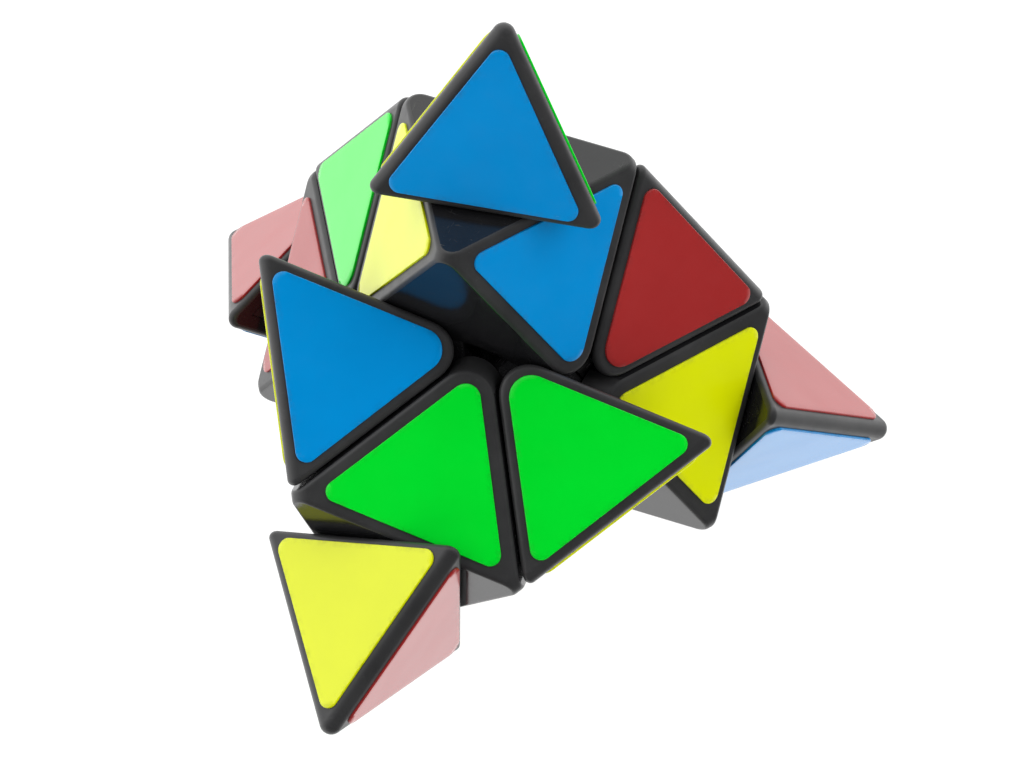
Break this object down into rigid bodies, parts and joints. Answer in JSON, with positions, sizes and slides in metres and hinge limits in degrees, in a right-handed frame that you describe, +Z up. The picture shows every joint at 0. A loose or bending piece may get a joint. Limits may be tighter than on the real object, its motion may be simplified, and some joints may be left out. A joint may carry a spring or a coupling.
{
  "type": "pyramid twisty puzzle",
  "caption": "Black pyramid twisty puzzle with coloured stickers, shown part way through a turn; a corner layer and all the tips turn on a hidden spring-loaded core.",
  "frame": {"origin": "middle of the outline of the puzzle as it stands, on the surface it stands on; the centre that every turn axis passes through is 30.42 mm above the origin, at x 4.45 and y 9.29 mm", "axes": "+Z up, away from the surface that the three lowest corners stand on; the top corner's axis leans 18.2 degrees from +Z; -Y is the front, where the turned layer is; +X is to the right of the viewer in the picture"},
  "size_m": [0.0894, 0.0814, 0.0842],
  "materials": {
    "shell_plastic": "satin black moulded ABS",
    "inner_plastic": "smooth black moulded ABS, lightly greased",
    "steel": "bright zinc-plated steel",
    "sticker_blue": "glossy blue vinyl",
    "sticker_green": "glossy green vinyl",
    "sticker_yellow": "glossy lemon yellow vinyl",
    "sticker_red": "glossy red vinyl"
  },
  "bodies": {
    "core": {"core_spider": "inner_plastic", "core_screws": "steel", "core_springs": "steel", "core_washers": "steel", "top_axial_foot": "inner_plastic", "right_axial_foot": "inner_plastic", "left_axial_foot": "inner_plastic", "top_axial_shell": "shell_plastic", "right_axial_shell": "shell_plastic", "left_axial_shell": "shell_plastic", "top_right_edge_foot": "inner_plastic", "top_left_edge_foot": "inner_plastic", "right_left_edge_foot": "inner_plastic", "top_right_edge_shell": "shell_plastic", "top_left_edge_shell": "shell_plastic", "right_left_edge_shell": "shell_plastic", "core_stickers_blue": "sticker_blue", "core_stickers_green": "sticker_green", "core_stickers_yellow": "sticker_yellow", "core_stickers_red": "sticker_red"},
    "front_layer": {"front_axial_foot": "inner_plastic", "front_axial_shell": "shell_plastic", "front_top_edge_foot": "inner_plastic", "front_right_edge_foot": "inner_plastic", "front_left_edge_foot": "inner_plastic", "front_top_edge_shell": "shell_plastic", "front_right_edge_shell": "shell_plastic", "front_left_edge_shell": "shell_plastic", "layer_stickers_blue": "sticker_blue", "layer_stickers_green": "sticker_green", "layer_stickers_yellow": "sticker_yellow", "layer_stickers_red": "sticker_red"},
    "front_tip": {"front_tip_base": "inner_plastic", "front_tip_cap": "shell_plastic", "front_tip_screw": "steel", "front_tip_sticker_yellow": "sticker_yellow", "front_tip_sticker_green": "sticker_green", "front_tip_sticker_red": "sticker_red"},
    "top_tip": {"top_tip_base": "inner_plastic", "top_tip_cap": "shell_plastic", "top_tip_screw": "steel", "top_tip_sticker_blue": "sticker_blue", "top_tip_sticker_yellow": "sticker_yellow", "top_tip_sticker_green": "sticker_green"},
    "right_tip": {"right_tip_base": "inner_plastic", "right_tip_cap": "shell_plastic", "right_tip_screw": "steel", "right_tip_sticker_blue": "sticker_blue", "right_tip_sticker_yellow": "sticker_yellow", "right_tip_sticker_red": "sticker_red"},
    "left_tip": {"left_tip_base": "inner_plastic", "left_tip_cap": "shell_plastic", "left_tip_screw": "steel", "left_tip_sticker_red": "sticker_red", "left_tip_sticker_blue": "sticker_blue", "left_tip_sticker_green": "sticker_green"}
  },
  "joints": [
    {"name": "front_layer_turn", "type": "hinge", "parent": "core", "child": "front_layer", "pos_m": [0.00445, 0.00929, 0.03042], "axis": [-0.1111, -0.8805, -0.4609], "continuous": true},
    {"name": "front_tip_turn", "type": "hinge", "parent": "front_layer", "child": "front_tip", "pos_m": [0.00445, 0.00929, 0.03042], "axis": [-0.1111, -0.8805, -0.4609], "continuous": true},
    {"name": "top_tip_turn", "type": "hinge", "parent": "core", "child": "top_tip", "pos_m": [0.00445, 0.00929, 0.03042], "axis": [0.2727, -0.153, 0.9498], "continuous": true},
    {"name": "right_tip_turn", "type": "hinge", "parent": "core", "child": "right_tip", "pos_m": [0.00445, 0.00929, 0.03042], "axis": [0.7045, 0.5342, -0.4671], "continuous": true},
    {"name": "left_tip_turn", "type": "hinge", "parent": "core", "child": "left_tip", "pos_m": [0.00445, 0.00929, 0.03042], "axis": [-0.8662, 0.4993, -0.0218], "continuous": true}
  ]
}
